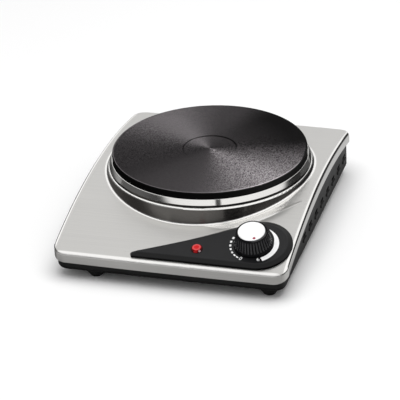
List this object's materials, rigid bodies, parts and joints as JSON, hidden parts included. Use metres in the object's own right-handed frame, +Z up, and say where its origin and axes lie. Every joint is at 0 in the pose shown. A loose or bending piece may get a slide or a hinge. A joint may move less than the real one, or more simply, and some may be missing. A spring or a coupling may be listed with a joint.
{
  "type": "hot plate burner",
  "caption": "Portable electric hot plate: a round cast-iron plate on an arched brushed-steel cover with a dark base, a drop-shaped control panel, a turning heat knob and a pilot lamp.",
  "frame": {"origin": "on the standing surface, under the middle of the body", "axes": "+X right, +Y towards the rear, +Z up; the control panel faces -Y"},
  "size_m": [0.225, 0.274, 0.072],
  "materials": {
    "brushed_steel": "brushed",
    "bright_steel": "polished",
    "cast_iron": "turned and blacked",
    "black_enamel": "satin",
    "panel_black": "satin gloss",
    "knob_black": "moulded",
    "cap_silver": "satin",
    "lens_red": "clear red",
    "dot_red": "printed",
    "rubber_black": "moulded",
    "zinc_steel": "zinc plated",
    "bright_sheet": "bright",
    "brass": "plain",
    "ceramic": "matt",
    "phenolic": "moulded",
    "block_white": "moulded",
    "lamp_glass": "clear",
    "wire_brown": "sleeve",
    "wire_blue": "sleeve",
    "wire_green": "sleeve",
    "wire_grey": "sleeve"
  },
  "bodies": {
    "body": {"base_screws": "zinc_steel", "base_tray": "black_enamel", "clamp_bridge": "zinc_steel", "clamp_nut": "zinc_steel", "clamp_washer": "zinc_steel", "coil_filling": "ceramic", "control_panel": "panel_black", "cord_gland": "rubber_black", "cover_legs": "zinc_steel", "earth_lug": "brass", "earth_wire": "wire_green", "foot_front_left": "rubber_black", "foot_front_right": "rubber_black", "foot_nuts": "zinc_steel", "foot_rear_left": "rubber_black", "foot_rear_right": "rubber_black", "foot_screws": "zinc_steel", "heat_shield": "bright_sheet", "heating_coil": "zinc_steel", "hot_plate": "cast_iron", "lamp_clip": "zinc_steel", "lamp_leads": "wire_grey", "live_wire": "wire_brown", "mains_screws": "zinc_steel", "mains_terminal_block": "block_white", "neutral_wire": "wire_blue", "pilot_lamp": "lamp_glass", "pilot_lens": "lens_red", "plate_bottom_cover": "zinc_steel", "plate_stud": "zinc_steel", "plate_tabs": "brass", "plate_terminal_block": "ceramic", "switched_wire": "wire_brown", "thermal_cutout": "ceramic", "thermostat_body": "phenolic", "thermostat_bracket": "zinc_steel", "thermostat_screws": "zinc_steel", "thermostat_tabs": "brass", "top_cover": "brushed_steel", "trim_ring": "bright_steel"},
    "knob": {"control_knob": "knob_black", "knob_cap": "cap_silver", "knob_pointer": "dot_red", "knob_spring": "zinc_steel", "thermostat_shaft": "zinc_steel"}
  },
  "joints": [
    {"name": "knob_turn", "type": "hinge", "parent": "body", "child": "knob", "pos_m": [0.0748, -0.1055, 0.0371], "axis": [0, -0.2592, 0.9658], "range_deg": [0, 300]}
  ]
}
